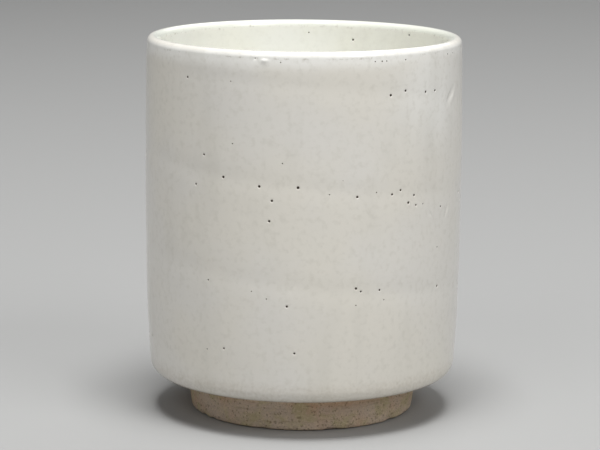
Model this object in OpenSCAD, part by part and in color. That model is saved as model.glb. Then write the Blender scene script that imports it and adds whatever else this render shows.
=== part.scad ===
// Yunomi: a tall, nearly straight-sided Japanese tea cup of wheel-thrown stoneware.
// A brown clay body stands on a bare foot ring and wears two coats of white glaze,
// one poured inside and one dipped outside, which meet on the crown of the lip.
// Every piece is a full turn about Z. The cup rests on z = 0, centred on the axis.

/* [Cup] */
// Outer diameter at the lip, over the glaze
rim_d = 72; // [62:0.5:84]
// Height from the table to the crown of the lip
cup_h = 86.5; // [72:0.5:104]
// How much narrower the side is at the hip than at the lip, in radius
hip_in = 0.3; // [0:0.05:2.5]
// How far the side swells outward halfway up
belly_swell = 0.48; // [0:0.02:2]
// Height of the stretch above the hip where the side curves in
low_curve_h = 19; // [8:0.5:30]
// How far the side has curved in where it meets the hip
low_curve_in = 0.4; // [0:0.05:2]
// Radius of the hip, where the side turns under
hip_r = 3.2; // [1.6:0.1:5]

/* [Wall and floor] */
// Thickness of the lip, over both coats of glaze
lip_t = 3; // [2.2:0.1:4]
// Thickness of the wall where the inside starts to turn, over both coats
wall_t = 4.2; // [3:0.1:6]
// Thickness of the floor over the foot well, in the middle of the cup
floor_t = 6; // [4:0.1:9]
// Height of the inside curve from wall to floor
inner_curve_h = 14; // [8:0.5:20]
// Width of the inside curve from wall to floor
inner_curve_w = 15; // [8:0.5:20]
// How far the inside floor sinks towards its middle
floor_dish = 0.5; // [0:0.05:1.2]

/* [Throwing rings] */
// Depth of the throwing grooves left outside
groove_d = 0.08; // [0:0.01:0.25]
// Half the width of one outside groove
groove_w = 2.6; // [1.5:0.1:4]
// Depth of the finger rings inside
finger_d = 0.2; // [0:0.01:0.4]
// Spacing of the finger rings inside
finger_gap = 11; // [6:0.5:16]

/* [Foot] */
// How far the base of the foot ring stands in from the side above the hip, in radius
foot_set_in = 9.5; // [8:0.1:14]
// Height of the underside above the table, at the hip
under_h = 8.1; // [6:0.1:11]
// How far the ring widens from its base to its top, in radius
foot_flare = 0.9; // [0:0.1:2]
// Width of the ring at its base
foot_wall = 4.6; // [3.4:0.1:7]
// How far the inside of the ring leans in towards its top
foot_lean = 1; // [0:0.1:2]
// Radius of the two worn edges at the base of the ring
foot_edge = 0.8; // [0.3:0.1:1.4]
// Radius of the corner between the ring and the underside
foot_fillet = 0.8; // [0.3:0.1:1.6]
// Radius of the turned nub in the foot well
nub_r = 6; // [3:0.5:10]
// Height of the turned nub in the foot well
nub_h = 0.9; // [0.2:0.1:1.6]

/* [Glaze] */
// Thickness of each coat of glaze
glaze_t = 0.45; // [0.25:0.05:0.7]
// Thickness of the glaze on the crown of the lip, where it runs thin
lip_glaze_t = 0.25; // [0.15:0.05:0.4]
// Height below the lip over which the glaze gains its full thickness
glaze_thin_h = 5; // [2:0.5:12]
// Bare clay left between the glaze's edge and the foot ring
glaze_bare = 1.2; // [0.4:0.1:2.5]
// Width of the rounded edge where the glaze ends
glaze_bead = 0.7; // [0.3:0.05:1.2]

/* [Hidden] */
$fn = 120;

clay_color = "#8A6C48";
glaze_color = "#E6E3D8";

// Slope of the underside, falling from the hip to the foot, in degrees
under_slope = 6;
// Heights of the outside grooves, from the hip up to the lip
groove_shares = [0.32, 0.61, 0.9];

// Steps in each stretch of the outline
floor_steps = 6;
curve_steps = 10;
inner_steps = 36;
lip_steps = 6;
side_steps = 36;
hip_steps = 8;
bead_steps = 4;
nub_steps = 6;
edge_steps = 5;

rim_r = rim_d / 2;
lip_r = lip_t / 2;
hip_out_r = rim_r - hip_in - low_curve_in;
foot_r = hip_out_r - foot_set_in;

// The side runs between the hip and the lip
side_top = cup_h - lip_r;
side_low = under_h + hip_r;
side_h = side_top - side_low;

// The line from hip to lip, swollen halfway up and drawn in above the hip
function side_share(z) = (z - side_low) / side_h;
function low_share(z) = max(0, side_low + low_curve_h - z) / low_curve_h;
function plain_r(z) =
    let (k = side_share(z))
    rim_r - hip_in * (1 - k) + belly_swell * 4 * k * (1 - k)
    - low_curve_in * pow(low_share(z), 2);

// Each groove fades out on both sides of its own height
function groove_z(i) = side_low + groove_shares[i] * side_h;
function groove_sum(z, i = 0) =
    i == len(groove_shares) ? 0
    : exp(-pow((z - groove_z(i)) / groove_w, 2)) + groove_sum(z, i + 1);
function outer_r(z) = plain_r(z) - groove_d * groove_sum(z);

// The hip is an arc that leaves the side along its slope and ends on the underside
hip_lean = atan((hip_in + 4 * belly_swell) / side_h + 2 * low_curve_in / low_curve_h);
function hip_point(a) = [
    outer_r(side_low) - hip_r * (cos(hip_lean) - cos(a)),
    side_low + hip_r * (sin(hip_lean) - sin(a))
];
hip_turn = 90 - under_slope;
hip_end = hip_point(hip_turn);

// Height of the underside at a radius, on the glaze and on the clay under it
function under_z(r) = hip_end[1] - (hip_end[0] - r) * tan(under_slope);
function clay_under_z(r) = under_z(r) + glaze_t / cos(under_slope);

// The foot ring meets the clay between these two radii
ring_top_r = foot_r + foot_flare;
ring_out_r = ring_top_r + foot_fillet;
ring_in_r = foot_r - foot_wall;
ring_in_top_r = ring_in_r - foot_lean;
ring_out = [ring_out_r, clay_under_z(ring_out_r)];
ring_in = [ring_in_top_r, clay_under_z(ring_in_top_r)];

// The inside floor lies over the foot well, and the inside turns above it
floor_z = ring_in[1] + floor_t;
turn_z = floor_z + floor_dish + inner_curve_h;
function down_share(z) = (side_top - z) / (side_top - turn_z);
function wall_at(z) = lip_t + (wall_t - lip_t) * down_share(z);
function finger(z) =
    finger_d * down_share(z) * pow(sin(180 * (z - turn_z) / finger_gap), 2);
function inner_r(z) = plain_r(z) - wall_at(z) + finger(z);
turn_r = inner_r(turn_z);
floor_r = turn_r - inner_curve_w;

// The finished surface, from the middle of the floor, up, over the lip, down and under.
// The last value of a point is the share of the coat's thickness that is there.
stop_r = ring_out_r + glaze_bare;
skin_inside = [
    for (i = [0 : floor_steps])
        let (k = i / floor_steps)
        [floor_r * k, floor_z + floor_dish * (1 - cos(180 * k)) / 2, 1],
    for (i = [1 : curve_steps])
        let (a = 90 * i / curve_steps)
        [floor_r + inner_curve_w * sin(a), turn_z - inner_curve_h * cos(a), 1],
    for (i = [1 : inner_steps])
        let (z = turn_z + (side_top - turn_z) * i / inner_steps)
        [inner_r(z), z, 1],
    for (i = [1 : lip_steps])
        let (a = 180 - 90 * i / lip_steps)
        [rim_r - lip_r + lip_r * cos(a), side_top + lip_r * sin(a), 1]
];
skin_outside = [
    for (i = [1 : lip_steps])
        let (a = 90 - 90 * i / lip_steps)
        [rim_r - lip_r + lip_r * cos(a), side_top + lip_r * sin(a), 1],
    for (i = [1 : side_steps])
        let (z = side_top - side_h * i / side_steps)
        [outer_r(z), z, 1],
    for (i = [1 : hip_steps])
        let (p = hip_point(hip_lean + (hip_turn - hip_lean) * i / hip_steps))
        [p[0], p[1], 1],
    for (i = [0 : bead_steps])
        let (a = 90 * i / bead_steps, r = stop_r + glaze_bead * (1 - sin(a)))
        [r, under_z(r), cos(a)]
];
skin = concat(skin_inside, skin_outside);
crown = len(skin_inside) - 1;
last = len(skin) - 1;

// Direction out of the wall at a point of the skin. The axis mirrors the floor's middle.
function before(i) = i == 0 ? [-skin[1][0], skin[1][1]] : [skin[i - 1][0], skin[i - 1][1]];
function after(i) = let (j = min(i + 1, last)) [skin[j][0], skin[j][1]];
function outward(i) =
    let (d = after(i) - before(i))
    [-d[1], d[0]] / norm(d);

// Glaze runs thin over the crown of the lip and is full below it
function coat(z) =
    lip_glaze_t + (glaze_t - lip_glaze_t) * min(1, (cup_h - z) / glaze_thin_h);
function clay_point(i) =
    [skin[i][0], skin[i][1]] - coat(skin[i][1]) * outward(i);
function glaze_point(i) = clay_point(i) + coat(skin[i][1]) * skin[i][2] * outward(i);

// Turns a closed outline of [radius, height] points about the axis
module turned(points) {
    rotate_extrude()
        polygon(points);
}

// Thrown wall and floor, with the foot well and its nub turned into the underside
module clay_body() {
    nub = [
        for (i = [0 : nub_steps])
            let (k = 1 - i / nub_steps)
            [nub_r * k, ring_in[1] - nub_h * (1 + cos(180 * k)) / 2]
    ];
    color(clay_color)
        turned(concat([for (i = [0 : last]) clay_point(i)], [ring_out, ring_in], nub));
}

// Bare ring that the cup stands on, luted to the underside
module foot_ring() {
    fillet_z = ring_out[1] - foot_fillet;
    outer_top = [
        for (i = [1 : edge_steps])
            let (a = 90 + 90 * i / edge_steps)
            [ring_out_r + foot_fillet * cos(a), fillet_z + foot_fillet * sin(a)]
    ];
    outer_edge = [
        for (i = [0 : edge_steps])
            let (a = 90 * i / edge_steps)
            [foot_r - foot_edge * (1 - cos(a)), foot_edge * (1 - sin(a))]
    ];
    inner_edge = [
        for (i = [0 : edge_steps])
            let (a = 90 * i / edge_steps)
            [ring_in_r + foot_edge * (1 - sin(a)), foot_edge * (1 - cos(a))]
    ];
    color(clay_color)
        turned(concat([ring_out], outer_top, outer_edge, inner_edge, [ring_in]));
}

// Poured coat, from the middle of the floor to the crown of the lip
module inner_glaze() {
    color(glaze_color)
        turned(concat(
            [for (i = [0 : crown]) glaze_point(i)],
            [for (i = [0 : crown]) clay_point(crown - i)]
        ));
}

// Dipped coat, from the crown of the lip, round the hip, to a rounded edge by the foot
module outer_glaze() {
    color(glaze_color)
        turned(concat(
            [for (i = [crown : last]) glaze_point(i)],
            [for (i = [1 : last - crown]) clay_point(last - i)]
        ));
}

clay_body();
foot_ring();
inner_glaze();
outer_glaze();
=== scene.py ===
# A tall stoneware tea cup. Its two coats of glaze, bare clay and turned foot are modelled
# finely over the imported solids, with the marks that hands and fire left on them.
import math
import random
from collections import namedtuple

import bmesh
import bpy
from mathutils import Matrix, Vector, kdtree, noise


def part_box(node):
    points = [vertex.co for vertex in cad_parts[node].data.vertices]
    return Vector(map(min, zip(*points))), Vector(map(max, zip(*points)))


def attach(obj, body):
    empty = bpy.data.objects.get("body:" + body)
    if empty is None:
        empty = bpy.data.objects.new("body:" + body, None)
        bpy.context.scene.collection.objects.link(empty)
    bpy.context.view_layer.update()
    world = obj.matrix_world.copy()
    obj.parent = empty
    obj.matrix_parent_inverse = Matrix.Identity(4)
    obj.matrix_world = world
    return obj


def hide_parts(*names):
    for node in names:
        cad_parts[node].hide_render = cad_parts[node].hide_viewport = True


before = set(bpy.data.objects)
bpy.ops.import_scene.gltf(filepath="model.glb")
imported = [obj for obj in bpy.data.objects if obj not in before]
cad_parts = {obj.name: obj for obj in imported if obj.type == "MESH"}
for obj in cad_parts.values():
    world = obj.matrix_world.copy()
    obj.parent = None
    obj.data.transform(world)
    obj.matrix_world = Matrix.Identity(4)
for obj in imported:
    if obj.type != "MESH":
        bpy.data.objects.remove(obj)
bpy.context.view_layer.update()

MM = 0.001

# Sizes of the cup in millimetres, as in the part's source. Its height comes from the imported
# outer glaze
CUP_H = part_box("outer_glaze")[1].z / MM
RIM_R = 36
HIP_IN = 0.3
BELLY_SWELL = 0.48
LOW_CURVE_H = 19
LOW_CURVE_IN = 0.4
HIP_R = 3.2
UNDER_H = 8.1
UNDER_SLOPE = math.radians(6)
LIP_R = 1.5
LIP_T = 2 * LIP_R
WALL_T = 4.2
FLOOR_T = 6
CURVE_H = 14
CURVE_W = 15
FLOOR_DISH = 0.5
GLAZE_T = 0.45
LIP_GLAZE_T = 0.25
GLAZE_THIN_H = 5
GLAZE_BARE = 1.2
GLAZE_BEAD = 0.7
FOOT_SET_IN = 9.5
FOOT_FLARE = 0.9
FOOT_WALL = 4.6
FOOT_LEAN = 1
FOOT_EDGE = 0.8
FOOT_FILLET = 0.8
NUB_R = 6
NUB_H = 0.9

SIDE_TOP = CUP_H - LIP_R
SIDE_LOW = UNDER_H + HIP_R
SIDE_H = SIDE_TOP - SIDE_LOW
FOOT_R = RIM_R - HIP_IN - LOW_CURVE_IN - FOOT_SET_IN
RING_OUT_R = FOOT_R + FOOT_FLARE + FOOT_FILLET
STOP_R = RING_OUT_R + GLAZE_BARE
BEAD_R = STOP_R + GLAZE_BEAD
RING_IN_R = FOOT_R - FOOT_WALL
WELL_R = RING_IN_R - FOOT_LEAN

# Marks of throwing in millimetres: a groove that climbs once round in a pitch, finger
# rings that spiral up the inside, and the slow unevenness of a hand-made wall. A fade is
# the two distances from an end between which a mark grows to its full depth
THROW_PITCH = 22
THROW_FRONT_Z = 57
THROW_W = 2.1
THROW_DEPTH = 0.09
THROW_PATCH = 24
THROW_HIP_FADE = (2, 10)
THROW_LIP_FADE = (2, 6)
FINGER_PITCH = 11
FINGER_DEPTH = 0.18
FINGER_FADE = (1, 6)
WOBBLE_SIZE = 14
WOBBLE_DEPTH = 0.07
# Share of the unevenness that has half the size, share that is left at the lip, and the
# height below the lip over which the rest of it grows
WOBBLE_FINE = 0.3
CALM_LIP = 0.4
CALM_H = 8

# Marks of turning and of coarse clay in millimetres. A share of the clay's depth is drag,
# which has a length and a height. All marks fade where the ring meets the body, and the
# turning tool's spiral also fades towards its middle
GRIT_SIZE = 0.9
GRIT_DEPTH = 0.16
DRAG_L = 5
DRAG_H = 0.5
DRAG_SHARE = 0.35
MEETING_W = 0.8
TURNING_PITCH = 1.7
TURNING_DEPTH = 0.12
TURNING_SHARPNESS = 8
TURNING_FADE = (0.5, 3)

# Nicks along the foot's outer edge in millimetres: how deep and how wide to either side,
# the share of the depth that each has, and how far they reach up and in. Where less than
# the least share of a nick would be left, there is none
NICK_SEED = 31
NICKS = 26
NICK_DEPTH = 0.3
NICK_HALF_W = (0.4, 1.3)
NICK_SHARE = (0.3, 1)
NICK_UP = 0.9
NICK_IN = 1.1
NICK_LEAST = 0.05

# Steps round the cup, and the size of the steps along its outline in millimetres
GLAZE_STEPS = 400
CLAY_STEPS = 480
ROW = 0.75
GRIT_ROW = 0.38
LIP_STEPS = 12
HIP_STEPS = 14
CURVE_STEPS = 32
EDGE_STEPS = 5
# The lip's tiny first step, every which point of a hidden outline is kept, the sectors that
# make a full turn, how close points become one, and how much a sharp edge turns
SEAM_TURN = math.radians(0.5)
HIDDEN_EACH = 4
SECTORS = 8
MERGE = 0.001
SHARP_TURN = math.radians(50)

# Pinholes as seen from the front: degrees round to the right, height and radius in mm
UPPER_LINE = [
    (31.6, 76.7, 0.26), (37.4, 77.8, 0.24), (48, 77, 0.24), (53, 76.5, 0.22),
]
MIDDLE_LINE = [
    (-40.6, 56.3, 0.2), (-29, 58.7, 0.26), (-15, 57.3, 0.26), (-2, 57.3, 0.29),
    (-10.6, 54.5, 0.24), (-11.6, 49.6, 0.24), (9, 55.5, 0.12), (19.2, 55.2, 0.24),
    (26, 55.6, 0.12), (32, 55.2, 0.22), (36, 55.3, 0.22), (42, 54, 0.22), (40, 52.4, 0.26),
    (43.6, 51.6, 0.19), (47, 51.8, 0.14), (58, 50.5, 0.2),
]
LOWER_LINE = [
    (-35, 35.7, 0.17), (-18, 34, 0.12), (-13, 32.5, 0.13), (-5.5, 31, 0.23),
    (19, 34.9, 0.25), (20.8, 34, 0.19), (28.3, 34, 0.19), (30, 31.5, 0.12), (19, 31, 0.13),
    (56.5, 32.5, 0.22),
]
STRAYS = [
    (-45, 80, 0.22), (-26, 80, 0.12), (-25, 66.5, 0.13), (-37, 63.3, 0.2),
    (-7, 62.5, 0.12), (55.5, 41.5, 0.15), (-36, 19.7, 0.13), (-29, 20.6, 0.2), (-3, 20, 0.21),
]
LIP_SPECKS = [
    (-17.2, 84.7, 0.17), (-8, 84, 0.12), (25, 84.3, 0.13), (28, 84.2, 0.14), (30, 84.2, 0.13),
    (38, 84, 0.14), (62, 84.4, 0.15), (67, 84.4, 0.14),
]
LINER_SPECKS = [(178, 83.7, 0.16), (159, 82, 0.22), (131, 84, 0.2), (-114, 83, 0.13)]

# Creases in the glaze: degrees round, height in mm, half height, half width, depth, sideways
# lean for each millimetre up, and the rim beside it as a share of its depth. The first is a
# bead of glaze that has run down from the lip, which stands out
Crease = namedtuple("Crease", "turn z half_h half_w depth lean rim")
CREASES = [
    Crease(-13.7, 84.5, 0.36, 0.75, -0.26, 0, 0),
    Crease(64.3, 74.8, 1.4, 1, 0.26, 0.8, 0.5),
    Crease(58, 74.8, 0.8, 0.5, 0.06, 0.4, 0.5),
    Crease(62, 49, 1, 0.5, 0.14, 0.4, 0.6),
    Crease(51, 49.3, 0.6, 0.4, 0.09, -0.5, 0.5),
    Crease(-22, 50.5, 0.8, 0.3, 0.05, 0.4, 0.5),
    Crease(-4, 34.7, 0.7, 0.25, 0.07, 0.5, 0.5),
]
# How far from a crease's middle its rim lies and how far round it the mesh is made finer,
# both in its half sizes, and how many cuts make it finer
CREASE_RIM_OFF = 2
CREASE_ROOM = 2.2
CREASE_CUTS = 2
# How far the side leans in under the lip, where it starts to, and where below the crown it
# has stopped
SHOULDER_IN = 0.1
SHOULDER_Z = 82
SHOULDER_STOP = 0.1

# A pinhole lies in a round field of at most a radius in millimetres, and at most a share of
# the mesh's shortest edge there. The gap round its widest ring is a share of its own radius
PIT_FIELD = 0.5
PIT_ROOM = 0.85
PIT_GAP = 0.1
# Its depth as a share of its radius, the least glaze under it in millimetres, and the inset
# that makes each ring before its points are moved to their place
PIT_DEEP = 1.1
PIT_LEFT = 0.05
PIT_INSET = 0.01
# Its rings: reach and drop as shares of its radius and depth, and how burnt it is
PIT_RINGS = [(1.3, 0.05, 0.1), (1, 0.4, 0.7), (0.8, 0.85, 1), (0.4, 1, 1)]
PIT_RADII = (0.14, 0.18, 0.24, 0.28, 0.32)
# Corners of the face that is left where four faces round a vertex become one
PIT_CORNERS = 8


def side_r(z):
    """Radius of the side: a line from hip to lip, swollen halfway, drawn in above the hip."""
    k = (z - SIDE_LOW) / SIDE_H
    low = max(0, SIDE_LOW + LOW_CURVE_H - z) / LOW_CURVE_H
    return RIM_R - HIP_IN * (1 - k) + BELLY_SWELL * 4 * k * (1 - k) - LOW_CURVE_IN * low ** 2


# How far below level the hip's round starts, as the side leans there, and where it ends
HIP_LEAN = math.atan((HIP_IN + 4 * BELLY_SWELL) / SIDE_H + 2 * LOW_CURVE_IN / LOW_CURVE_H)
HIP_TURN = math.pi / 2 - UNDER_SLOPE


def hip_point(a):
    """Radius and height of the hip's round at an angle below level."""
    return (
        side_r(SIDE_LOW) - HIP_R * (math.cos(HIP_LEAN) - math.cos(a)),
        SIDE_LOW + HIP_R * (math.sin(HIP_LEAN) - math.sin(a)),
    )


HIP_END = hip_point(HIP_TURN)


def under_z(r):
    """Height of the glazed underside at a radius."""
    return HIP_END[1] - (HIP_END[0] - r) * math.tan(UNDER_SLOPE)


def clay_under_z(r):
    """Height of the clay underside at a radius."""
    return under_z(r) + GLAZE_T / math.cos(UNDER_SLOPE)


RING_OUT = (RING_OUT_R, clay_under_z(RING_OUT_R))
RING_IN = (WELL_R, clay_under_z(WELL_R))
FLOOR_Z = RING_IN[1] + FLOOR_T
TURN_Z = FLOOR_Z + FLOOR_DISH + CURVE_H


def down_share(z):
    """0 at the lip and 1 where the inside starts to turn."""
    return (SIDE_TOP - z) / (SIDE_TOP - TURN_Z)


def inner_r(z):
    """Radius of the inside. The wall grows thicker from the lip down."""
    return side_r(z) - LIP_T - (WALL_T - LIP_T) * down_share(z)


FLOOR_R = inner_r(TURN_Z) - CURVE_W


def steps(start, end, count):
    """Values from start to end in equal steps, without start."""
    return [start + (end - start) * (i + 1) / count for i in range(count)]


def line(start, end, step):
    """Points from start to end about a step apart, without start."""
    count = max(1, round(math.dist(start, end) / step))
    return list(zip(steps(start[0], end[0], count), steps(start[1], end[1], count)))


def arc(centre, size, turns):
    """Points at some angles of an arc, round or oval."""
    return [(centre[0] + size[0] * math.cos(a), centre[1] + size[1] * math.sin(a))
            for a in turns]


def lip(way):
    """Outline of half the lip from its crown: way is 1 to the outside and -1 to the inside.
    Its first step is tiny, so that both coats shade alike where they meet."""
    seam = math.pi / 2 - way * SEAM_TURN
    level = 0 if way > 0 else math.pi
    turns = [math.pi / 2, seam, *steps(seam, level, LIP_STEPS)]
    return arc((RIM_R - LIP_R, SIDE_TOP), (LIP_R, LIP_R), turns)


def outside_skin():
    """Outline of the dipped coat, from the crown, down the side, to its edge underneath."""
    side = [(side_r(z), z) for _, z in line((0, SIDE_TOP), (0, SIDE_LOW), ROW)]
    hip = [hip_point(a) for a in steps(HIP_LEAN, HIP_TURN, HIP_STEPS)]
    return lip(1) + side + hip + line(HIP_END, (BEAD_R, under_z(BEAD_R)), ROW)


def inside_skin():
    """Outline of the poured coat, from the crown, down the wall, to the floor's middle."""
    side = [(inner_r(z), z) for _, z in line((0, SIDE_TOP), (0, TURN_Z), ROW)]
    turn = arc((FLOOR_R, TURN_Z), (CURVE_W, CURVE_H), steps(0, -math.pi / 2, CURVE_STEPS))
    floor = [(r, FLOOR_Z + FLOOR_DISH * (1 - math.cos(math.pi * r / FLOOR_R)) / 2)
             for r, _ in line((FLOOR_R, 0), (0, 0), ROW)]
    return lip(-1) + side + turn + floor


def coat(z):
    """Thickness of the glaze, which runs thin over the crown of the lip."""
    return LIP_GLAZE_T + (GLAZE_T - LIP_GLAZE_T) * min(1, (CUP_H - z) / GLAZE_THIN_H)


def clay_behind(skin, way):
    """The clay under a coat: its outline moved into the wall by the coat's thickness."""
    clay = []
    for i, (r, z) in enumerate(skin):
        before = skin[i - 1] if i else (r - way, z)
        after = skin[i + 1] if i + 1 < len(skin) else (2 * r - before[0], 2 * z - before[1])
        along = Vector((after[0] - before[0], after[1] - before[1])).normalized()
        clay.append((r + way * along.y * coat(z), z - way * along.x * coat(z)))
    return clay


def sparse(points):
    """Fewer points, for an outline that lies hidden: each end and some between."""
    return points[:-1:HIDDEN_EACH] + points[-1:]


# What a vertex carries: whether it shows, and how burnt, thin, toasted, pooled or lapped it is.
# Some shares also carry painted light: painted shade on crease flanks (thin), above and under
# the hip (toast) and on the inner crown (pool), and a painted glow and highlight (lap)
LAYERS = ("skin", "iron", "thin", "toast_and_shade", "pool_and_shade", "lap_and_highlight")


def lathe(outline, shown, count, closed=False):
    """Turns an outline of (radius, height) about Z. The shown points are marked as skin."""
    bm = bmesh.new()
    skin, *_ = [bm.verts.layers.float.new(name) for name in LAYERS]
    shown = set(shown)
    verts = []
    for r, z in outline:
        v = bm.verts.new((r * MM, 0, z * MM))
        v[skin] = (r, z) in shown
        verts.append(v)
    edges = [bm.edges.new(pair) for pair in zip(verts, verts[1:])]
    if closed:
        edges.append(bm.edges.new((verts[-1], verts[0])))
    sector = 2 * math.pi / SECTORS
    bmesh.ops.spin(
        bm, geom=verts + edges, cent=(0, 0, 0), axis=(0, 0, 1), dvec=(0, 0, 0),
        angle=sector, steps=count // SECTORS, use_merge=False, use_duplicate=False,
    )
    # Long spins are slow, so one sector is spun and then doubled until the turn is full
    made = 1
    while made < SECTORS:
        copy = bmesh.ops.duplicate(bm, geom=bm.verts[:] + bm.edges[:] + bm.faces[:])["geom"]
        turned = [v for v in copy if isinstance(v, bmesh.types.BMVert)]
        turn = Matrix.Rotation(sector * made, 3, "Z")
        bmesh.ops.rotate(bm, verts=turned, cent=(0, 0, 0), matrix=turn)
        made *= 2
    bmesh.ops.remove_doubles(bm, verts=bm.verts, dist=MERGE * MM)
    bmesh.ops.recalc_face_normals(bm, faces=bm.faces)
    bm.normal_update()
    return bm


def ring_place(co):
    """Radius and height of a point, in millimetres."""
    return math.hypot(co.x, co.y) / MM, co.z / MM


def turn_of(co):
    """Degrees round from the front of the cup, to the right as seen from there."""
    return math.degrees(math.atan2(co.x, -co.y))


def ease(value, low, high):
    """0 below low, 1 above high and smooth between."""
    k = min(1, max(0, (value - low) / (high - low)))
    return k * k * (3 - 2 * k)


def bell(value, width):
    """1 at zero, falling smoothly to about a third at a width to either side."""
    return math.exp(-((value / width) ** 2))


def patch(co, size, height=None):
    """Smooth random patches of about a size, from 0 to 1, flattened to a height if given."""
    flat = Vector((co.x / size, co.y / size, co.z / (height or size))) / MM
    return 0.5 + 0.5 * noise.noise(flat)


def hand(co):
    """How far the hand-made wall wavers inward here, less near the lip."""
    grown = ease(-co.z / MM, -CUP_H, -CUP_H + CALM_H)
    coarse = (1 - WOBBLE_FINE) * patch(co, WOBBLE_SIZE)
    waver = coarse + WOBBLE_FINE * patch(co, WOBBLE_SIZE / 2)
    return WOBBLE_DEPTH * waver * (CALM_LIP + (1 - CALM_LIP) * grown)


def throwing_groove(co):
    """How deep the climbing groove is here, from 0 to 1."""
    z = co.z / MM
    groove_z = THROW_FRONT_Z - THROW_PITCH * turn_of(co) / 360
    off = (z - groove_z + THROW_PITCH / 2) % THROW_PITCH - THROW_PITCH / 2
    ends = ease(z - SIDE_LOW, *THROW_HIP_FADE) * ease(SIDE_TOP - z, *THROW_LIP_FADE)
    return bell(off, THROW_W) * ends * (0.5 + 0.5 * patch(co, THROW_PATCH))


def crease_place(co, crease):
    """How far a point lies above a crease's middle and across it, in its half sizes."""
    up = co.z / MM - crease.z
    across = math.radians(turn_of(co) - crease.turn) * RIM_R - crease.lean * up
    return up / crease.half_h, across / crease.half_w


def creased(co):
    """How deep the creases are here, in millimetres."""
    deep = 0
    for crease in CREASES:
        up, across = crease_place(co, crease)
        rim = crease.rim * bell(across - CREASE_RIM_OFF, 1)
        deep += crease.depth * bell(up, 1) * (bell(across, 1) - rim)
    return deep


def refine_creases(bm):
    """Makes the mesh finer round each crease, so that it can hold the crease's shape."""
    skin = bm.verts.layers.float["skin"]
    near = [e for e in bm.edges if all(
        v[skin] and any(math.hypot(*crease_place(v.co, crease)) < CREASE_ROOM + crease.rim
                        for crease in CREASES)
        for v in e.verts)]
    bmesh.ops.subdivide_edges(bm, edges=near, cuts=CREASE_CUTS, use_grid_fill=True)


def shoulder(co):
    """How far the side leans in here, more and more up to the lip and not at its crown."""
    z = co.z / MM
    rise = min(1, max(0, (z - SHOULDER_Z) / (SIDE_TOP - SHOULDER_Z)))
    return SHOULDER_IN * rise ** 2 * (1 - ease(z, SIDE_TOP, CUP_H - SHOULDER_STOP))


def outside_marks(co):
    """How far the outside lies inside its plain outline here, in millimetres."""
    above = ease(co.z / MM, HIP_END[1], SIDE_LOW)
    thrown = hand(co) * above + THROW_DEPTH * throwing_groove(co) + shoulder(co)
    return thrown + creased(co)


def inside_marks(co):
    """How far the inside lies inside its plain outline here, in millimetres."""
    r, z = ring_place(co)
    reach = TURN_Z - z
    if z < TURN_Z:
        bend = math.atan2((TURN_Z - z) / CURVE_H, max(0, r - FLOOR_R) / CURVE_W)
        reach = bend * (CURVE_H + CURVE_W) / 2 + max(0, FLOOR_R - r)
    ring = math.sin(math.pi * (reach / FINGER_PITCH + turn_of(co) / 360)) ** 2
    finger = ring * max(0, min(1, down_share(z))) * ease(r, *FINGER_FADE)
    return hand(co) + FINGER_DEPTH * finger


def meeting(co):
    """0 where the foot ring meets the body, so that both keep the same edge, and 1 away."""
    place = ring_place(co)
    return ease(min(math.dist(place, RING_OUT), math.dist(place, RING_IN)), 0, MEETING_W)


def torn_clay(co):
    """Depth of sandy clay that a turning tool has dragged, in millimetres."""
    grain = patch(co, GRIT_SIZE)
    drag = patch(co, DRAG_L, DRAG_H)
    return GRIT_DEPTH * ((1 - DRAG_SHARE) * grain + DRAG_SHARE * drag) * meeting(co)


def well_marks(co):
    """Depth of the bare clay: its torn grain and the spiral of the turning tool."""
    r = ring_place(co)[0]
    wave = math.sin(math.pi * (r / TURNING_PITCH + turn_of(co) / 360))
    spiral = wave ** TURNING_SHARPNESS * meeting(co) * ease(r, *TURNING_FADE) * (r < WELL_R)
    return torn_clay(co) + TURNING_DEPTH * spiral


def press_in(bm, marks):
    """Moves each shown vertex into the piece by what marks gives for it. Only shown faces
    give its direction, so pieces that meet at an edge still meet there."""
    skin = bm.verts.layers.float["skin"]
    shown = {f for f in bm.faces if all(v[skin] for v in f.verts)}
    moves = []
    for v in bm.verts:
        if v[skin]:
            out = sum((f.normal for f in v.link_faces if f in shown), Vector())
            moves.append((v, out.normalized() * marks(v.co) * MM))
    for v, move in moves:
        v.co -= move
    bm.normal_update()


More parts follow.
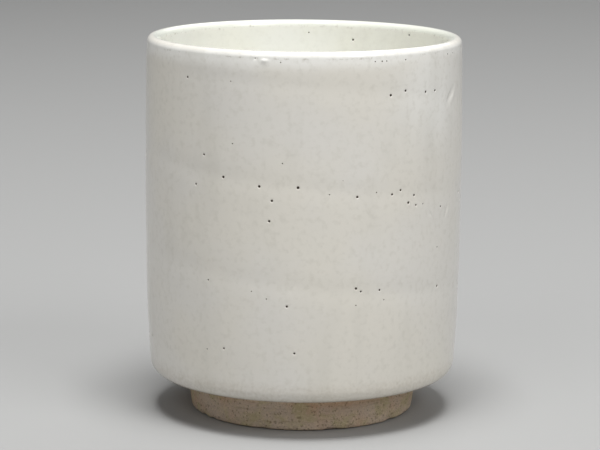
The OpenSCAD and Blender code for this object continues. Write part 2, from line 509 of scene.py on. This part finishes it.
def sink_pits(bm, places, radius_at, marks):
    """Opens a pinhole at the vertex nearest to each (degrees, height, radius): the four
    faces round it become one, and rings are inset in that one."""
    skin = bm.verts.layers.float["skin"]
    verts = [v for v in bm.verts if v[skin] and [len(f.verts) for f in v.link_faces] == [4] * 4]
    tree = kdtree.KDTree(len(verts))
    for i, v in enumerate(verts):
        tree.insert(v.co, i)
    tree.balance()
    taken = set()
    chosen = []
    pits = []
    for turn, z, radius in places:
        a = math.radians(turn)
        r = radius_at(min(z, SIDE_TOP))
        v = verts[tree.find(Vector((r * math.sin(a), -r * math.cos(a), z)) * MM)[1]]
        if taken.isdisjoint(v.link_faces):
            taken.update(v.link_faces)
            chosen.append(v)
            field = min(PIT_FIELD, PIT_ROOM * min(e.calc_length() for e in v.link_edges) / MM)
            radius = min(radius, field / (PIT_RINGS[0][0] + PIT_GAP))
            depth = min(PIT_DEEP * radius, coat(z) - marks(v.co) - PIT_LEFT)
            pits.append((v.co.copy(), v.normal.copy(), field, radius, depth))
    bmesh.ops.dissolve_verts(bm, verts=chosen, use_face_split=False)
    faces = [f for f in bm.faces if len(f.verts) == PIT_CORNERS]
    owners = [min(pits, key=lambda pit: (pit[0] - f.calc_center_median()).length) for f in faces]
    iron = bm.verts.layers.float["iron"]
    for reach, drop, burnt in [(0, 0, 0), *PIT_RINGS]:
        bmesh.ops.inset_individual(bm, faces=faces, thickness=PIT_INSET * MM, depth=0)
        if reach == 0:
            bmesh.ops.bisect_edges(bm, edges=[e for f in faces for e in f.edges], cuts=1)
        for f, (centre, out, field, radius, depth) in zip(faces, owners):
            along = Vector((0, 0, 1)).cross(out).normalized()
            up = out.cross(along)
            size = radius * reach or field
            for v in f.verts:
                flat = v.co - centre
                turn = math.atan2(flat.dot(up), flat.dot(along))
                ring = (along * math.cos(turn) + up * math.sin(turn)) * size
                v.co = centre + (ring - out * depth * drop) * MM
                v[iron] = burnt


# Pinholes that the photograph doesn't show: a seed, the lowest and highest in millimetres,
# how many are drawn, and the degrees round that they lie between
BACK_LINE = (11, 16, 80, 40, (74, 286))
BACK_STRAYS = (12, 16, 82, 12, (74, 286))
LINER_STRAYS = (21, TURN_Z + 4, 82, 18, (-150, 150))
# How far above the groove's middle those on a line lie on average, and how they scatter
LINE_OFF = -1
LINE_SCATTER = 1.8


def pits_on_line(seed, low, high, count, turns):
    """Pinholes along the throwing groove. Those drawn too low or too high are left out."""
    rng = random.Random(seed)
    places = []
    for _ in range(count):
        turn = rng.uniform(*turns)
        z = THROW_FRONT_Z + THROW_PITCH * (rng.choice((-1, 0, 1)) - turn / 360)
        z += rng.gauss(LINE_OFF, LINE_SCATTER)
        radius = rng.choice(PIT_RADII)
        if low < z < high:
            places.append((turn, z, radius))
    return places


def scattered_pits(seed, low, high, count, turns):
    """Pinholes anywhere between two heights, none of them of the widest kind."""
    rng = random.Random(seed)
    return [(rng.uniform(*turns), rng.uniform(low, high), rng.choice(PIT_RADII[:-1]))
            for _ in range(count)]


def paint(bm, layer, amount):
    """Writes a share for each shown vertex into a layer that a material reads."""
    skin = bm.verts.layers.float["skin"]
    share = bm.verts.layers.float[layer]
    for v in bm.verts:
        if v[skin]:
            v[share] = amount(v.co)


def finished(bm, name, node, material):
    """Makes the piece: smooth but for real edges, riding on the cup's one body."""
    mesh = bpy.data.meshes.new(name)
    bm.to_mesh(mesh)
    bm.free()
    mesh.shade_smooth()
    mesh.set_sharp_from_angle(angle=SHARP_TURN)
    mesh.materials.append(material)
    piece = bpy.data.objects.new(name, mesh)
    bpy.context.scene.collection.objects.link(piece)
    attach(piece, "root")
    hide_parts(node)


# Dashes of thin glaze on the lip's outer shoulder: their share, half height and length in
# millimetres, and the two values of the patches between which they fade in
DASH_THIN = 0.62
DASH_H = 0.45
DASH_SIZE = 3.5
DASH_FADE = (0.35, 0.7)
# Grey on a crease's left flank, partly thin glaze and partly painted shade: share for each
# millimetre of depth, and how far left and how wide it is in the crease's half widths
FLANK_THIN_AND_SHADE = 3
FLANK_OFF = 0.9
FLANK_W = 0.8


def thin_and_shaded_outside(co):
    """The outer shoulder of the lip, where glaze runs thin and grey clay shows in dashes, and the
    left flank of each crease that is sunk, grey partly from thin glaze and partly as painted
    shade."""
    dashes = ease(patch(co, DASH_SIZE), *DASH_FADE)
    thin = DASH_THIN * bell(co.z / MM - SIDE_TOP, DASH_H) * dashes
    # Painted shade with thin glaze: grey on the left flank of each sunk crease
    for crease in CREASES:
        up, across = crease_place(co, crease)
        flank = bell(up, 1) * bell(across + FLANK_OFF, FLANK_W)
        thin += FLANK_THIN_AND_SHADE * max(0, crease.depth) * flank
    return thin


# Thin glaze just inside the lip: its share, what a patch adds, the patches' size and the
# values between which they fade in, and how far above the side's top it lies and how far it
# reaches up and down from there, in millimetres
LINER_THIN = 0.42
LINER_PATCHY = 0.15
LINER_SIZE = 2.5
LINER_FADE = (0.3, 0.7)
LINER_UP = 0.1
LINER_H = 0.8


def thin_inside(co):
    """Just inside the lip, where the glaze is a little thin, more so in small patches."""
    patchy = LINER_THIN + LINER_PATCHY * ease(patch(co, LINER_SIZE), *LINER_FADE)
    return patchy * bell(co.z / MM - SIDE_TOP - LINER_UP, LINER_H)


# How much painted shade darkens the glaze above the hip, and how toasted it is under the hip,
# where thin warm glaze and painted shade both darken it, with the heights below which each
# starts. The foot ring's clay is toasted from a height up
HIP_PAINTED_SHADE = 0.24
HIP_PAINTED_SHADE_Z = 14.5
UNDER_TOAST_AND_SHADE = 0.46
UNDER_TOAST_AND_SHADE_Z = 9.3
FOOT_TOAST_Z = 4.5


def toasted_and_shaded_hip(co):
    """Painted shade darkens the glaze above the hip, and where the hip turns under it is thin and
    warm and darkened by painted shade too.
    """
    down = -co.z / MM
    # Painted shade above the hip; under it, thin warm glaze and painted shade
    above = HIP_PAINTED_SHADE * ease(down, -HIP_PAINTED_SHADE_Z, -SIDE_LOW)
    return above + UNDER_TOAST_AND_SHADE * ease(down, -UNDER_TOAST_AND_SHADE_Z, -HIP_END[1])


# The lap of glaze over the lip, a whiter band that is partly doubled glaze and partly a
# painted glow: its share, the heights between which it fades in, and the wave and the size of
# the patches that waver its edge, in millimetres. Over the crown, from one height to another,
# it loses a share again
LAP_AND_GLOW = 0.9
LAP_Z = (CUP_H - 5, CUP_H - 1.2)
LAP_WAVE = 1.2
LAP_SIZE = 9
CROWN_LOSS = 0.8
CROWN_Z = (CUP_H - 1.1, CUP_H - 0.3)
# A painted highlight, whiter glaze colour on the upper right of the side: its share, its middle
# and half width in degrees round, and the heights, wave and patches as for the lap
PAINTED_HIGHLIGHT = 0.7
HIGHLIGHT_TURN = 52
HIGHLIGHT_HALF_TURN = 17
HIGHLIGHT_Z = (60, 76)
HIGHLIGHT_WAVE = 6
HIGHLIGHT_SIZE = 14


def wavy_height(co, wave, size):
    """Height of a point in millimetres, moved up or down a little in patches of a size."""
    return co.z / MM + wave * (patch(co, size) - 0.5)


def lapped_lip_and_painted_highlight(co):
    """The coat from inside laps over the lip, so the glaze is doubled and whiter there, and that
    whiter band is also a painted glow, less over the crown, where it runs thin. At the right a
    whiter patch is painted on the upper side as a painted highlight."""
    # Doubled glaze and a painted glow under the lip
    lap_and_highlight = LAP_AND_GLOW * ease(wavy_height(co, LAP_WAVE, LAP_SIZE), *LAP_Z)
    lap_and_highlight *= 1 - CROWN_LOSS * ease(co.z / MM, *CROWN_Z)
    # Painted highlight: whiter colour on the upper right of the side
    painted_highlight = PAINTED_HIGHLIGHT * bell(turn_of(co) - HIGHLIGHT_TURN, HIGHLIGHT_HALF_TURN)
    painted_highlight *= ease(wavy_height(co, HIGHLIGHT_WAVE, HIGHLIGHT_SIZE), *HIGHLIGHT_Z)
    return max(lap_and_highlight, painted_highlight)


# The pool in the bottom of the cup: the wave and size of the patches that waver its edge,
# and the height over the floor below which it is full. The share of grey on the lip's crown,
# partly thin glaze and partly painted shade, and the heights between which that fades in
POOL_WAVE = 2
POOL_SIZE = 9
POOL_FULL_H = 2
CROWN_GREY_SHADE = 0.55
CROWN_GREY_SHADE_Z = (SIDE_TOP - 0.1, SIDE_TOP + 0.7)


def pooled_glaze_and_crown_shade(co):
    """Glaze has run down the inside and lies thick and grey-green in the round bottom. The same
    grey is painted on the crown of the lip, partly for the thin glaze there and partly as painted
    shade."""
    height = co.z / MM + POOL_WAVE * patch(co, POOL_SIZE)
    # Painted shade on the crown, partly thin glaze
    crown = CROWN_GREY_SHADE * ease(co.z / MM, *CROWN_GREY_SHADE_Z)
    return max(crown, ease(-height, -TURN_Z, -FLOOR_Z - POOL_FULL_H))


# How far the glaze's lower edge wanders in all, and the size of its waves, in millimetres
EDGE_WAVE = 0.7
EDGE_SIZE = 7


def wavy_edge(bm):
    """Moves the edge of the dipped coat in and out a little along the clay's slope."""
    for v in bm.verts:
        r, z = ring_place(v.co)
        if z < HIP_END[1] + GLAZE_T and r < HIP_END[0]:
            share = 1 - ease(r, BEAD_R, HIP_END[0])
            flat = Vector((v.co.x, v.co.y, 0))
            shift = EDGE_WAVE * (patch(flat, EDGE_SIZE) - 0.5) * share
            slope = flat.normalized() + Vector((0, 0, math.tan(UNDER_SLOPE)))
            v.co += slope * shift * MM


def dipped_coat(material):
    """Outer glaze, from the crown of the lip to its rounded edge by the foot."""
    skin = outside_skin()
    for a in steps(0, math.pi / 2, EDGE_STEPS):
        r = STOP_R + GLAZE_BEAD * (1 - math.sin(a))
        skin.append((r, clay_under_z(r) - GLAZE_T * math.cos(a)))
    clay = sparse(clay_behind(outside_skin(), 1))
    bm = lathe(skin + clay[::-1], skin, GLAZE_STEPS, closed=True)
    wavy_edge(bm)
    refine_creases(bm)
    press_in(bm, outside_marks)
    # Thin here also holds painted shade on the creases' left flanks
    paint(bm, "thin", thin_and_shaded_outside)
    # Toast here also holds painted shade above and under the hip
    paint(bm, "toast_and_shade", toasted_and_shaded_hip)
    # Lap here also holds a painted glow under the lip and a painted highlight on the upper right
    paint(bm, "lap_and_highlight", lapped_lip_and_painted_highlight)
    seen = [*UPPER_LINE, *MIDDLE_LINE, *LOWER_LINE, *STRAYS, *LIP_SPECKS]
    back = pits_on_line(*BACK_LINE) + scattered_pits(*BACK_STRAYS)
    sink_pits(bm, seen + back, side_r, outside_marks)
    finished(bm, "dipped_glaze_coat", "outer_glaze", material)


def poured_coat(material):
    """Inner glaze, from the crown of the lip to the middle of the floor."""
    skin = inside_skin()
    clay = sparse(clay_behind(skin, -1))
    bm = lathe(skin[::-1] + clay, skin, GLAZE_STEPS)
    press_in(bm, inside_marks)
    paint(bm, "thin", thin_inside)
    # Pool here also holds painted shade on the lip's crown
    paint(bm, "pool_and_shade", pooled_glaze_and_crown_shade)
    places = LINER_SPECKS + scattered_pits(*LINER_STRAYS)
    sink_pits(bm, places, inner_r, inside_marks)
    finished(bm, "poured_glaze_coat", "inner_glaze", material)


def turned_foot(material):
    """The bare ring that the cup stands on, turned in sandy clay and nicked along its edge."""
    fillet_z = RING_OUT[1] - FOOT_FILLET
    outer, inner = FOOT_R - FOOT_EDGE, RING_IN_R + FOOT_EDGE
    fillet, edge = (FOOT_FILLET, FOOT_FILLET), (FOOT_EDGE, FOOT_EDGE)
    level, down = math.pi, math.pi / 2
    skin = [RING_OUT]
    skin += arc((RING_OUT_R, fillet_z), fillet, steps(down, level, EDGE_STEPS))
    skin += line(skin[-1], (FOOT_R, FOOT_EDGE), GRIT_ROW)
    skin += arc((outer, FOOT_EDGE), edge, steps(0, -down, EDGE_STEPS))
    skin += line(skin[-1], (inner, 0), GRIT_ROW)
    skin += arc((inner, FOOT_EDGE), edge, steps(-down, -level, EDGE_STEPS))
    skin += line(skin[-1], RING_IN, GRIT_ROW)
    rng = random.Random(NICK_SEED)
    nicks = [(rng.uniform(-180, 180), rng.uniform(*NICK_HALF_W), rng.uniform(*NICK_SHARE))
             for _ in range(NICKS)]

    def marks(co):
        r, z = ring_place(co)
        on_edge = bell(z, NICK_UP) * bell(r - FOOT_R, NICK_IN)
        deep = sum(share * bell(math.radians(turn_of(co) - turn) * FOOT_R, width)
                   for turn, width, share in nicks) if on_edge > NICK_LEAST else 0
        return torn_clay(co) + NICK_DEPTH * on_edge * min(1, deep)

    bm = lathe(skin, skin, CLAY_STEPS, closed=True)
    press_in(bm, marks)
    paint(bm, "toast_and_shade", lambda co: ease(co.z / MM, FOOT_TOAST_Z, RING_OUT[1]))
    finished(bm, "turned_foot_ring", "foot_ring", material)


def thrown_body(material):
    """The clay under both coats, bare from the glaze's edge to the ring and in the well."""
    inside = sparse(clay_behind(inside_skin(), -1))
    outside = sparse(clay_behind(outside_skin(), 1))
    band_end = (BEAD_R, clay_under_z(BEAD_R))
    band = [band_end, *line(band_end, RING_OUT, GRIT_ROW)]
    ceiling = line(RING_IN, (NUB_R, RING_IN[1]), GRIT_ROW)
    nub = [(r, RING_IN[1] - NUB_H * (1 + math.cos(math.pi * r / NUB_R)) / 2)
           for r, _ in line((NUB_R, 0), (0, 0), GRIT_ROW)]
    bare = [*band, RING_IN, *ceiling, *nub]
    bm = lathe(inside[::-1] + outside[1:-1] + bare, bare, CLAY_STEPS)
    press_in(bm, well_marks)
    paint(bm, "toast_and_shade", lambda co: ease(ring_place(co)[0], WELL_R, RING_OUT_R))
    finished(bm, "thrown_clay_body", "clay_body", material)


def hex_colour(code):
    """The linear colour, with full alpha, of an sRGB hex value."""
    shown = [int(code[i:i + 2], 16) / 255 for i in (1, 3, 5)]
    linear = [c / 12.92 if c <= 0.04045 else ((c + 0.055) / 1.055) ** 2.4 for c in shown]
    return (*linear, 1)


def add(tree, kind, inputs=None, **settings):
    """Adds a shader node. An input is a value, or a socket that is linked to it."""
    node = tree.nodes.new("ShaderNode" + kind)
    for name, value in settings.items():
        setattr(node, name, value)
    for name, value in (inputs or {}).items():
        if isinstance(value, bpy.types.NodeSocket):
            tree.links.new(value, node.inputs[name])
        else:
            node.inputs[name].default_value = value
    return node


def per(size):
    """Texture scale at which one feature is about a size in millimetres."""
    return 1 / (size * MM)


def paint_over(tree, colour, layers):
    """Mixes each (amount, colour) over the ones before it."""
    for amount, tint in layers:
        # Sockets 0, 6 and 7 of a colour Mix are its factor and its two colours
        mix = add(tree, "Mix", {0: amount, 6: colour, 7: hex_colour(tint)}, data_type="RGBA")
        colour = mix.outputs[2]
    return colour


def new_material(name):
    """An empty material, its node tree and the node of its surface."""
    material = bpy.data.materials.new(name)
    material.use_nodes = True
    tree = material.node_tree
    return material, tree, tree.nodes["Principled BSDF"]


def milky_glaze(name, offset, cool, warm, curdled):
    """Feldspar glaze, dipped or poured thick over brown clay and fired to a gloss. It looks
    milky and faintly clouded, with iron that has burnt through where gas broke the skin.
    Curdled is how much the grey runs and the fine mottle show, which is less where the coat
    is thick. Offset moves all patterns, in millimetres, so that no two coats share them."""
    material, tree, surface = new_material(name)
    place = add(tree, "TexCoord").outputs["Object"]
    place = add(tree, "Mapping", {"Vector": place, "Location": (offset * MM, 0, 0)}).outputs[0]

    # Clouds where the coat is thicker, runs that follow its flow, and a fine curdled mottle
    upright = add(tree, "Mapping", {"Vector": place, "Scale": (1, 1, 0.3)}).outputs[0]
    noises = []
    for at, size, detail in ((place, 26, 2), (upright, 9, 3), (place, 1.3, 2), (place, 0.7, 1)):
        made = add(tree, "TexNoise", {"Vector": at, "Scale": per(size), "Detail": detail})
        noises.append(made.outputs["Fac"])
    cloud, run, mottle, speckle = noises
    shaped = []
    for value, low, high, most in (
        (cloud, 0.35, 0.65, 1), (run, 0.5, 0.75, curdled), (mottle, 0.45, 0.8, curdled),
    ):
        made = add(tree, "MapRange", {
            "Value": value, "From Min": low, "From Max": high, "To Max": most,
        }, interpolation_type="SMOOTHSTEP")
        shaped.append(made.outputs["Result"])
    clouds, runs, mottles = shaped

    # A few cells hold a fleck of iron, each of its own size
    cells = add(tree, "TexVoronoi", {"Vector": place, "Scale": per(4.5)})
    lot = add(tree, "SeparateColor", {"Color": cells.outputs["Color"]}).outputs["Red"]
    size = add(tree, "MapRange", {
        "Value": lot, "From Min": 0.72, "From Max": 1, "To Max": 0.045,
    }).outputs["Result"]
    inside = add(tree, "Math", {0: size, 1: cells.outputs["Distance"]}, operation="SUBTRACT")
    flecks = add(tree, "MapRange", {
        "Value": inside.outputs[0], "From Min": 0, "From Max": 0.02, "To Max": 0.7,
    }).outputs["Result"]

    # The finest mottle makes the edge of each mark ragged, and thin glaze most of all
    marks = {}
    for layer, low, high, rag, most in (
        ("thin", 0.45, 1, 1, 0.7), ("toast_and_shade", 0, 1, 0.3, 1), ("iron", 0.25, 0.8, 0.3, 1),
    ):
        share = add(tree, "Attribute", attribute_name=layer).outputs["Fac"]
        ragged = add(tree, "Math", {0: speckle, 1: rag, 2: share}, operation="MULTIPLY_ADD")
        covered = add(tree, "Math", {0: ragged.outputs[0], 1: 0.5 * rag}, operation="SUBTRACT")
        made = add(tree, "MapRange", {
            "Value": covered.outputs[0], "From Min": low, "From Max": high, "To Max": most,
        }, interpolation_type="SMOOTHSTEP")
        marks[layer] = made.outputs["Result"]

    pool_and_shade = add(tree, "Attribute", attribute_name="pool_and_shade").outputs["Fac"]
    lap_and_highlight = add(tree, "Attribute", attribute_name="lap_and_highlight").outputs["Fac"]
    # Painted light among these: toast holds painted shade at the hip, thin on crease flanks, pool
    # on the lip's crown, and lap a painted glow and a painted highlight
    colour = paint_over(tree, hex_colour(cool), [
        (clouds, warm), (pool_and_shade, "#C6CABD"), (lap_and_highlight, "#F1F0EB"), (runs, "#CAC7BD"),
        (mottles, "#C2BEB2"), (flecks, "#6E5A45"), (marks["thin"], "#A89F92"),
        (marks["toast_and_shade"], "#8F7B60"), (marks["iron"], "#463A2F"),
    ])
    tree.links.new(colour, surface.inputs["Base Color"])

    # The runs are a little less glossy than the rest, and pits are dull
    satin = add(tree, "MapRange", {"Value": run, "To Min": 0.1, "To Max": 0.22}).outputs["Result"]
    dulled = add(tree, "Math", {0: marks["iron"], 1: 0.5, 2: satin}, operation="MULTIPLY_ADD")
    tree.links.new(dulled.outputs[0], surface.inputs["Roughness"])
    surface.inputs["IOR"].default_value = 1.5

    # Orange-peel skin of a thick glaze, 3 mm across and far finer
    heights = add(tree, "TexNoise", {"Vector": place, "Scale": per(3), "Detail": 4})
    skin = add(tree, "Bump", {
        "Height": heights.outputs["Fac"], "Strength": 1, "Distance": 0.02 * MM,
    })
    tree.links.new(skin.outputs["Normal"], surface.inputs["Normal"])
    return material


def sandy_stoneware(name, offset):
    """Coarse iron-bearing stoneware, turned on the wheel and left bare: a dry, sandy brown
    with pale and dark grains, a flash of orange in places and no gloss at all. Offset moves
    all patterns, in millimetres, so that no two pieces share them."""
    material, tree, surface = new_material(name)
    place = add(tree, "TexCoord").outputs["Object"]
    place = add(tree, "Mapping", {"Vector": place, "Location": (offset * MM, 0, 0)}).outputs[0]

    # Grains of sand about 0.4 mm across, each with its own shade
    grains = add(tree, "TexVoronoi", {"Vector": place, "Scale": per(0.4)})
    lot = add(tree, "SeparateColor", {"Color": grains.outputs["Color"]}).outputs
    grit = add(tree, "TexNoise", {"Vector": place, "Scale": per(0.3), "Detail": 2}).outputs["Fac"]
    drawn = add(tree, "Mapping", {"Vector": place, "Scale": (0.1, 0.1, 1)}).outputs[0]
    drag = add(tree, "TexNoise", {"Vector": drawn, "Scale": per(0.6), "Detail": 2}).outputs["Fac"]
    blush = add(tree, "TexNoise", {"Vector": place, "Scale": per(11), "Detail": 2}).outputs["Fac"]
    ochre = add(tree, "TexNoise", {"Vector": place, "Scale": per(4), "Detail": 3}).outputs["Fac"]
    toast_and_shade = add(tree, "Attribute", attribute_name="toast_and_shade").outputs["Fac"]
    warmed = add(tree, "Math", {0: toast_and_shade, 1: 0.25, 2: blush}, operation="MULTIPLY_ADD").outputs[0]
    shaped = []
    for value, low, high, most in (
        (warmed, 0.45, 0.75, 0.7), (ochre, 0.45, 0.65, 0.75), (drag, 0.5, 0.8, 0.4),
        (lot["Red"], 0.7, 0.8, 0.35), (lot["Green"], 0.88, 0.94, 0.45), (grit, 0.5, 0.75, 0.4),
    ):
        made = add(tree, "MapRange", {
            "Value": value, "From Min": low, "From Max": high, "To Max": most,
        }, interpolation_type="SMOOTHSTEP")
        shaped.append(made.outputs["Result"])
    # Over brown: orange flashes, ochre patches, dragged lines, pale grains, dark ones and grit
    colour = paint_over(tree, hex_colour("#CCB9A6"), zip(
        shaped, ("#C9A07D", "#BCB087", "#8E7A60", "#DCC9AA", "#6A5641", "#8F7A5D"),
    ))
    tree.links.new(colour, surface.inputs["Base Color"])
    surface.inputs["Roughness"].default_value = 0.88
    surface.inputs["IOR"].default_value = 1.45

    # Grains stand out of the clay, and the tool has left fine level lines
    rough = add(tree, "Math", {0: grains.outputs["Distance"], 1: grit}, operation="SUBTRACT")
    worn = add(tree, "Math", {0: drag, 1: 1.5, 2: rough.outputs[0]}, operation="MULTIPLY_ADD")
    skin = add(tree, "Bump", {
        "Height": worn.outputs[0], "Strength": 0.8, "Distance": 0.1 * MM,
    })
    tree.links.new(skin.outputs["Normal"], surface.inputs["Normal"])
    return material


def matt_card(name, code):
    """Seamless paper for the floor and the wall behind: matt, with a faint tooth."""
    material, tree, surface = new_material(name)
    place = add(tree, "TexCoord").outputs["Object"]
    tooth = add(tree, "TexNoise", {"Vector": place, "Scale": per(1.5)}).outputs["Fac"]
    surface.inputs["Base Color"].default_value = hex_colour(code)
    surface.inputs["Roughness"].default_value = 0.9
    surface.inputs["Specular IOR Level"].default_value = 0.2
    skin = add(tree, "Bump", {"Height": tooth, "Strength": 0.2, "Distance": 0.1 * MM})
    tree.links.new(skin.outputs["Normal"], surface.inputs["Normal"])
    return material


# The stage in metres: paper that lies flat under the cup and sweeps up behind it in a bend
# of so many steps
PAPER_HALF_W = 2.5
PAPER_FRONT = 2.5
PAPER_BACK = 1.9
PAPER_H = 2.2
PAPER_BEND = 0.9
PAPER_STEPS = 24


def paper_sweep(material):
    """The floor and the wall behind, drawn out sideways from one line and bent."""
    bm = bmesh.new()
    corners = [(-PAPER_FRONT, 0), (PAPER_BACK, 0), (PAPER_BACK, PAPER_H)]
    verts = [bm.verts.new((-PAPER_HALF_W, y, z)) for y, z in corners]
    edges = [bm.edges.new(pair) for pair in zip(verts, verts[1:])]
    made = bmesh.ops.extrude_edge_only(bm, edges=edges)["geom"]
    far = [v for v in made if isinstance(v, bmesh.types.BMVert)]
    bmesh.ops.translate(bm, verts=far, vec=(2 * PAPER_HALF_W, 0, 0))
    fold = [e for e in bm.edges if len(e.link_faces) == 2]
    bmesh.ops.bevel(
        bm, geom=fold, offset=PAPER_BEND, segments=PAPER_STEPS, profile=0.5, affect="EDGES",
        material=-1,
    )
    bmesh.ops.recalc_face_normals(bm, faces=bm.faces)
    mesh = bpy.data.meshes.new("paper_sweep")
    bm.to_mesh(mesh)
    bm.free()
    mesh.shade_smooth()
    mesh.materials.append(material)
    sweep = bpy.data.objects.new("paper_sweep", mesh)
    bpy.context.scene.collection.objects.link(sweep)


def softbox(name, azimuth, elevation, distance, size, watts):
    """A soft white lamp aimed at the cup. Azimuth is degrees to the right of the front."""
    lamp = bpy.data.lights.new(name, "AREA")
    lamp.shape = "RECTANGLE"
    lamp.size, lamp.size_y = size
    lamp.energy = watts
    box = bpy.data.objects.new(name, lamp)
    a, e = math.radians(azimuth), math.radians(elevation)
    away = Vector((math.sin(a) * math.cos(e), -math.cos(a) * math.cos(e), math.sin(e)))
    middle = Vector((0, 0, CUP_H / 2 * MM))
    box.location = middle + away * distance
    box.rotation_euler = away.to_track_quat("Z", "Y").to_euler()
    box.visible_camera = False
    bpy.context.scene.collection.objects.link(box)


# The camera that the photograph's outline gives: metres, millimetres and degrees
CAMERA_PLACE = (0, -0.5572, 0.1459)
CAMERA_LENS = 146.9
CAMERA_DOWN = 10.532
CAMERA_TURN = 0.071
CAMERA_ROLL = 0.445


def photograph_camera():
    """Stands where the photograph's camera stood, and is turned and rolled as it was."""
    scene = bpy.context.scene
    data = bpy.data.cameras.new("camera")
    data.lens = CAMERA_LENS
    camera = bpy.data.objects.new("camera", data)
    scene.collection.objects.link(camera)
    camera.matrix_world = (
        Matrix.Translation(CAMERA_PLACE)
        @ Matrix.Rotation(math.radians(CAMERA_TURN), 4, "Z")
        @ Matrix.Rotation(math.radians(90 - CAMERA_DOWN), 4, "X")
        @ Matrix.Rotation(math.radians(CAMERA_ROLL), 4, "Z")
    )
    scene.camera = camera


# Each lamp: degrees to the right of the front, degrees up, metres away, sides in metres, watts
LAMPS = {
    "overhead_softbox": (6, 80, 1.3, (0.55, 0.55), 20),
    "right_softbox": (46, 36, 1.6, (0.8, 0.8), 8),
    "left_softbox": (-34, 38, 1.6, (0.8, 0.8), 3.6),
    "back_softbox": (165, 38, 1.6, (0.8, 0.8), 3),
}
AIR_STRENGTH = 0.33


def studio_light():
    """A lamp nearly overhead, weaker ones at the front right, front left and back, and pale
    air all round."""
    scene = bpy.context.scene
    world = bpy.data.worlds.new("studio_air")
    world.use_nodes = True
    air = world.node_tree.nodes["Background"]
    air.inputs["Color"].default_value = hex_colour("#D8D9DB")
    air.inputs["Strength"].default_value = AIR_STRENGTH
    scene.world = world
    for name, place_and_power in LAMPS.items():
        softbox(name, *place_and_power)
    scene.view_settings.view_transform = "Standard"


photograph_camera()
studio_light()
paper_sweep(matt_card("matt_paper", "#A0A09F"))
dipped_coat(milky_glaze(
    "dipped_feldspar_glaze", offset=0, cool="#DEDBD4", warm="#DFDBD1", curdled=0.28,
))
poured_coat(milky_glaze(
    "poured_feldspar_glaze", offset=80, cool="#F6F6F0", warm="#F6F5EC", curdled=0.1,
))
turned_foot(sandy_stoneware("turned_sandy_stoneware", offset=0))
thrown_body(sandy_stoneware("thrown_sandy_stoneware", offset=40))
